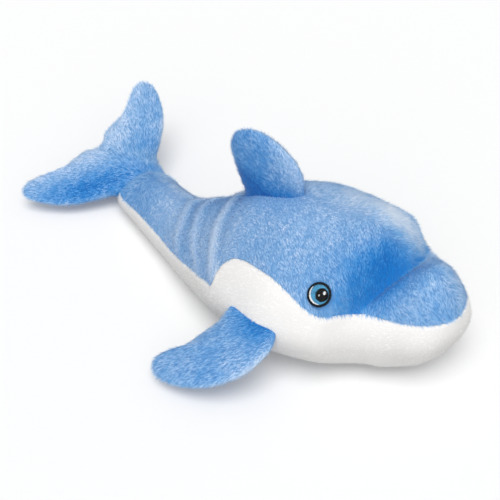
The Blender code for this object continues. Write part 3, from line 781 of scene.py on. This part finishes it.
def make_eye(name, axes, sunk, rng):
    """Embroidered eye: black ring, blue iris, white crescent, black pupil, two lights."""

    def dome(x, y):
        return EYE_DOME * math.sqrt(max(1.0 - (x * x + y * y) / EYE_ROUND, 0.0)) - sunk

    pupil = np.array((1.8, 0.05))
    pupil_radius = 3.45
    iris_radius = 5.3
    ring_inner, ring_outer = 5.1, 6.45

    def on_circle(radius, angle):
        return np.array((radius * math.cos(angle), radius * math.sin(angle)))

    backing = []
    for k in range(34):
        y = -5.2 + 10.4 * k / 33
        half = math.sqrt(max(5.5 ** 2 - y * y, 0.01))
        backing.append(stitch_strip(np.array((-half, y)), np.array((half, y)), 0.0, 0.0, 0.5, dome))
    iris = []
    for k in range(84):
        angle = 2.0 * math.pi * (k + rng.uniform(-0.2, 0.2)) / 84
        outer = on_circle(iris_radius, angle)
        inner = pupil + on_circle(pupil_radius - 0.3, angle)
        iris.append(stitch_strip(inner, outer, 0.12, 0.16, 0.36, dome))
    crescent = []
    for k in range(40):
        share = k / 39
        angle = math.radians(136 + 152 * share)
        thick = 1.15 * math.sin(math.pi * share) ** 0.7 + 0.08
        inner = on_circle(iris_radius - thick, angle + 0.03)
        crescent.append(stitch_strip(on_circle(iris_radius, angle), inner, 0.24, 0.24, 0.4, dome))
    ring = []
    for k in range(124):
        angle = 2.0 * math.pi * k / 124 + rng.uniform(-0.012, 0.012)
        inner = on_circle(ring_inner + rng.uniform(-0.1, 0.1), angle)
        outer = on_circle(ring_outer + rng.uniform(-0.12, 0.18), angle + 0.05)
        ring.append(stitch_strip(inner, outer, 0.34, 0.3, 0.4, dome))
    filled = []
    for k in range(24):
        y = -pupil_radius + 0.12 + (2.0 * pupil_radius - 0.24) * k / 23
        half = math.sqrt(max(pupil_radius ** 2 - y * y, 0.04))
        start = pupil + np.array((-half + rng.uniform(-0.08, 0.08), y))
        filled.append(stitch_strip(start, pupil + np.array((half, y)), 0.4, 0.4, 0.34, dome))
    lights = []
    for centre, radius in ((np.array((2.85, 1.25)), 0.9), (np.array((0.45, -0.5)), 0.45)):
        count = max(int(radius * 7), 3)
        for k in range(count):
            y = -radius * 0.85 + 1.7 * radius * k / (count - 1)
            half = math.sqrt(max(radius ** 2 - y * y, 0.01))
            lights.append(stitch_strip(centre + (-half, y), centre + (half, y), 0.58, 0.58, 0.34, dome))
    main = stitches_object(name + "_ring", ring, axes, BLACK_THREAD)
    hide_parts(name)
    stitches_object(name + "_backing", backing, axes, BLACK_THREAD)
    stitches_object(name + "_iris", iris, axes, BLUE_THREAD)
    stitches_object(name + "_crescent", crescent, axes, WHITE_THREAD)
    stitches_object(name + "_pupil", filled, axes, BLACK_THREAD)
    stitches_object(name + "_lights", lights, axes, WHITE_THREAD)


def body_finder(sheets):
    """Tells how far a point is inside the body's cloth."""
    points = np.concatenate([sheet["points"][::2] for sheet in sheets])
    normals = np.concatenate([sheet["normals"][::2] for sheet in sheets])
    tree = KDTree(len(points))
    for k, point in enumerate(points):
        tree.insert(point, k)
    tree.balance()

    def depth(places):
        nearest = np.array([tree.find(point)[1] for point in places])
        return -np.sum((places - points[nearest]) * normals[nearest], axis=1)

    return depth


def make_body():
    """Makes the body's pieces, and gives the finder of how deep a point is in it."""
    rng = np.random.default_rng(11)
    sheets = body_sheets()
    back, belly = sheets["back"], sheets["belly"]
    quads = back["quads"]
    ahead = back["ahead"][quads].mean(axis=1)
    side = back["side"][quads].mean(axis=1)
    fibres = strands(back, BLUE_DENSITY, rng)
    fibres = trim(fibres, clear_of_eyes(fibres))
    root = fibres["corners"][:, :2].mean(axis=1)
    tree = KDTree(len(back["points"]))
    for k, point in enumerate(back["points"]):
        tree.insert(point, k)
    tree.balance()
    near = np.array([tree.find(point)[1] for point in root])
    fibre_ahead, fibre_side = back["ahead"][near], back["side"][near]
    behind, fibre_behind = ahead <= 0.0, fibre_ahead <= 0.0
    groups = (
        ("beak", ("beak",), ~behind, ~fibre_behind),
        ("back_right", ("back_right",), behind & (side > 0.0), fibre_behind & (fibre_side > 0.0)),
        ("back_left", ("back_left",), behind & (side <= 0.0), fibre_behind & (fibre_side <= 0.0)),
    )
    for name, nodes, cloth, on_it in groups:
        piece = plush_pieces(name, back, quads[cloth], trim(fibres, on_it), BLUE)
        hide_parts(*nodes)
    short = strands(belly, WHITE_DENSITY, rng, unruly=WHITE_UNRULY)
    piece = plush_pieces("belly", belly, belly["quads"], short, WHITE)
    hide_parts("belly", "body_stuffing")
    return body_finder((back, belly))


def fin_piece(name, sheet, nodes, depth, rng):
    """A fin's cloth and pile, with painted shade and bare where it goes into the body."""

    def outside(tufts):
        return depth(tufts["points"]) < FIN_ROOT_REACH

    # Painted shade near where the fin goes into the body
    sheet["shade"] += FIN_ROOT_PAINTED_SHADE * np.exp(np.minimum(depth(sheet["points"]), 0.0) / FIN_ROOT_REACH)
    fibres = strands(sheet, BLUE_DENSITY, rng, outside)
    piece = plush_pieces(name, sheet, sheet["quads"], fibres, BLUE)
    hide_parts(*nodes)


def translation(distance, aside, height):
    return Matrix.Translation(Vector(place(distance, aside, height)))


def make_dorsal_fin(depth):
    outline = ((-24.5, -18), (-24, 4), (-22.3, 14.5), (-17, 23), (-10.8, 27.8), (-4.5, 31.2), (1.4, 33.1),
               (7.5, 33.6), (13.6, 32.5), (19.9, 29.5), (23.7, 24.4), (25, 18), (23.2, 12), (20.5, 4.5),
               (18, -2), (15.5, -8), (14.5, -18))
    upright = Matrix(((0.0, 0.0, 1.0), (1.0, 0.0, 0.0), (0.0, 1.0, 0.0))).to_4x4()
    turned = Matrix.Rotation(-float(heading(DORSAL_AT)), 4, "Z")
    matrix = translation(DORSAL_AT, 0.0, DORSAL_HEIGHT) @ turned @ upright

    def nap(local):
        return np.stack((0.5 + 0.0 * local[:, 0], 1.0 + 0.0 * local[:, 1], 0.0 * local[:, 2]), axis=1)

    def shade(local):
        back, up = local[:, 0], local[:, 1]
        # Painted light on the front rim, painted shade low down and most at the rear, where the fin meets the
        # back
        front_rim_painted_light = bump(back + 26.0 - 0.5 * np.maximum(up, 0.0), 9.0)
        low = np.clip((14.0 - up) / 16.0, 0.0, 1.0)
        rear = np.clip((back + 6.0) / 24.0, 0.0, 1.0)
        return 0.47 + 0.32 * front_rim_painted_light - 0.85 * low * rear - 0.14 * low

    sheet = fin_sheet(outline, lambda p: DORSAL_HALF_THICKNESS + 0.0 * p[..., 0], matrix, nap, shade)
    fin_piece("dorsal_fin", sheet, ("dorsal_fin_left_face", "dorsal_fin_right_face", "dorsal_fin_stuffing"),
              depth, np.random.default_rng(21))


# Front edges of a flipper and of a fluke lobe, by the distance out from the root
FLIPPER_FRONT = curve(((1, -20.5), (10, -22.3), (20, -19.8), (28.5, -15.5), (35.3, -8.9), (41, -0.5),
                       (44.8, 9.5)))
FLUKE_FRONT = curve(((12, -9.5), (18, 3), (25.5, 8), (33, 12.9), (39.5, 17.5), (46, 24.3), (53, 35),
                     (55.9, 44)))


def make_flippers(depth):
    outline = ((-14, -16), (-20.5, 1), (-22.3, 10), (-19.8, 20), (-15.5, 28.5), (-8.9, 35.3), (-0.5, 41),
               (9.5, 44.8), (21, 46.4), (31.5, 45), (38, 40), (39, 33.5), (34, 27.5), (27.5, 23),
               (21.7, 13.5), (16, 3), (11, -16))
    for name, side, seed in (("right_flipper", -1.0, 31), ("left_flipper", 1.0, 32)):
        droop = Matrix.Rotation(side * FLIPPER_DROOP, 4, "Y")
        pitch = Matrix.Rotation(-FLIPPER_PITCH, 4, "X")
        matrix = translation(FLIPPER_AT, side * FLIPPER_ASIDE, FLIPPER_HEIGHT) @ droop @ pitch

        def nap(local):
            return np.stack((side + 0.0 * local[:, 0], 0.55 + 0.0 * local[:, 1], 0.0 * local[:, 2]), axis=1)

        def shade(local):
            out, back = local[:, 0] * side, local[:, 1]
            # Painted shade at the root, where the flipper meets the body, and painted light on the front rim;
            # a little darker far out
            root = bump(out - 2.0, 10.0) * np.clip((12.0 - back) / 20.0, 0.0, 1.0)
            far_out = bump(np.hypot(out - 32.0, back - 4.0), 14.0)
            rim = bump(np.maximum(back - FLIPPER_FRONT(out), 0.0), 4.5)
            return 0.62 - 0.25 * root - 0.10 * far_out + 0.34 * rim

        turned_outline = [(out * side, back) for back, out in outline]
        sheet = fin_sheet(turned_outline, lambda p: FLIPPER_HALF_THICKNESS + 0.0 * p[..., 0],
                          matrix, nap, shade)
        nodes = [f"{name}_{face}" for face in ("upper_face", "lower_face", "stuffing")]
        fin_piece(name, sheet, nodes, depth, np.random.default_rng(seed))


def make_fluke(depth):
    left = ((0, -14), (12, -9.5), (18, 3), (25.5, 8), (33, 12.9), (39.5, 17.5), (46, 24.3), (53, 35),
            (55.9, 44), (52.5, 50.6), (46.5, 51.9), (39.6, 49.4), (33.6, 45.8), (26, 43.5), (17, 42.8),
            (8, 41.5), (0, 37))
    outline = list(left) + [(-out, back) for out, back in reversed(left[1:-1])]
    turn = Euler((FLUKE_PITCH, -FLUKE_ROLL, FLUKE_YAW), "YXZ").to_matrix().to_4x4()
    matrix = translation(0.0, 0.0, FLUKE_HEIGHT) @ turn

    def thickness(p):
        from_root = np.hypot(p[..., 0], p[..., 1])
        return FLUKE_HALF_THICKNESS + FLUKE_ROOT_SWELL * bump(from_root, FLUKE_ROOT_SPREAD)

    def nap(local):
        out = np.tanh(local[:, 0] / 8.0)
        return np.stack((np.where(out > 0.0, 0.65, 1.1) * out, 0.8 + 0.2 * out, 0.0 * out), axis=1)

    def shade(local):
        out, back = local[:, 0], local[:, 1]
        # Painted shade on the near lobe, the far lobe and the crease between them; painted light behind and
        # on the front rim
        near = bump(np.hypot((out + 25.0) / 25.0, (back - 6.0 + 0.5 * out) / 9.0), 1.0)
        far = bump(np.hypot((out - 24.0) / 16.0, (back - 12.0) / 8.0), 1.0)
        middle = bump(out, 2.2) * np.clip((back - 14.0) / 10.0, 0.0, 1.0)
        behind = np.clip((back - 0.55 * np.abs(out) - 14.0) / 12.0, 0.0, 1.0)
        rim = bump(np.maximum(back - FLUKE_FRONT(np.abs(out)), 0.0), 3.0)
        rim *= np.clip((np.abs(out) - 14.0) / 8.0, 0.0, 1.0)
        return 0.63 - 0.38 * near - 0.12 * far - 0.16 * middle + 0.16 * behind + 0.30 * rim

    sheet = fin_sheet(outline, thickness, matrix, nap, shade)
    fin_piece("fluke", sheet, ("fluke_upper_face", "fluke_lower_face", "fluke_stuffing"),
              depth, np.random.default_rng(41))


def backdrop_rays(tree):
    """1 for the rays that show the backdrop, and 0 for those that only light the toy."""
    path = tree.nodes.new("ShaderNodeLightPath")
    shown = path.outputs["Is Camera Ray"]
    for kind in ("Is Glossy Ray", "Is Transmission Ray"):
        either = tree.nodes.new("ShaderNodeMath")
        either.operation = "MAXIMUM"
        tree.links.new(shown, either.inputs[0])
        tree.links.new(path.outputs[kind], either.inputs[1])
        shown = either.outputs["Value"]
    return shown


def make_floor():
    """White floor, which the camera sees a little brighter than its light makes it."""
    mesh = bpy.data.meshes.new("floor")
    mesh.from_pydata([(-4, -4, 0), (4, -4, 0), (4, 4, 0), (-4, 4, 0)], [], [(0, 1, 2, 3)])
    material = bpy.data.materials.new("floor_white")
    material.use_nodes = True
    tree = material.node_tree
    shader = tree.nodes["Principled BSDF"]
    shader.inputs["Roughness"].default_value = 1.0
    shader.inputs["Specular IOR Level"].default_value = 0.0
    shader.inputs["Emission Color"].default_value = (1.0, 1.0, 1.0, 1.0)
    shown = backdrop_rays(tree)
    colour = tree.nodes.new("ShaderNodeMix")
    colour.data_type = "RGBA"
    colour.inputs["A"].default_value = (FLOOR_WHITE, FLOOR_WHITE, FLOOR_WHITE, 1.0)
    colour.inputs["B"].default_value = (FLOOR_SHADED, FLOOR_SHADED, FLOOR_SHADED, 1.0)
    glow = tree.nodes.new("ShaderNodeMath")
    glow.operation = "MULTIPLY"
    glow.inputs[1].default_value = FLOOR_GLOW
    tree.links.new(shown, colour.inputs["Factor"])
    tree.links.new(shown, glow.inputs[0])
    tree.links.new(colour.outputs["Result"], shader.inputs["Base Color"])
    tree.links.new(glow.outputs["Value"], shader.inputs["Emission Strength"])
    mesh.materials.append(material)
    floor = bpy.data.objects.new("floor", mesh)
    bpy.context.scene.collection.objects.link(floor)


def make_light():
    world = bpy.data.worlds.new("studio")
    world.use_nodes = True
    tree = world.node_tree
    around = tree.nodes["Background"]
    around.inputs["Color"].default_value = (0.96, 0.98, 1.0, 1.0)
    around.inputs["Strength"].default_value = 0.42
    seen = tree.nodes.new("ShaderNodeBackground")
    seen.inputs["Color"].default_value = (1.0, 1.0, 1.0, 1.0)
    seen.inputs["Strength"].default_value = 1.0
    either = tree.nodes.new("ShaderNodeMixShader")
    tree.links.new(backdrop_rays(tree), either.inputs[0])
    tree.links.new(around.outputs["Background"], either.inputs[1])
    tree.links.new(seen.outputs["Background"], either.inputs[2])
    tree.links.new(either.outputs["Shader"], tree.nodes["World Output"].inputs["Surface"])
    bpy.context.scene.world = world
    lamps = (
        ("overhead", 1.75, 46.0, (1.0, 0.99, 0.98), (-0.32, -0.18, 1.0)),
        ("front_fill", 0.9, 70.0, (0.97, 0.985, 1.0), (-0.87, -0.5, 0.7)),
    )
    for name, energy, angle, colour, direction in lamps:
        data = bpy.data.lights.new(name, "SUN")
        data.energy = energy
        data.angle = math.radians(angle)
        data.color = colour
        lamp = bpy.data.objects.new(name, data)
        lamp.rotation_euler = Vector(direction).to_track_quat("Z", "Y").to_euler()
        bpy.context.scene.collection.objects.link(lamp)


def make_camera():
    target = Vector((-4.21, -16.33, 30.0)) * MM
    turn, rise = math.radians(30.28), math.radians(38.0)
    back = Vector((-math.cos(turn) * math.cos(rise), -math.sin(turn) * math.cos(rise), math.sin(rise)))
    data = bpy.data.cameras.new("camera")
    data.sensor_width = 36.0
    data.lens = 99.21
    camera = bpy.data.objects.new("camera", data)
    camera.location = target + back * 0.75
    camera.rotation_euler = back.to_track_quat("Z", "Y").to_euler()
    bpy.context.scene.collection.objects.link(camera)
    bpy.context.scene.camera = camera


make_camera()
make_light()
make_floor()
inside_depth = make_body()
make_dorsal_fin(inside_depth)
make_flippers(inside_depth)
make_fluke(inside_depth)
for eye, axes in EYES.items():
    make_eye(eye, axes, EYE_SUNK[eye], np.random.default_rng(51))

bpy.context.scene.view_settings.view_transform = "Standard"
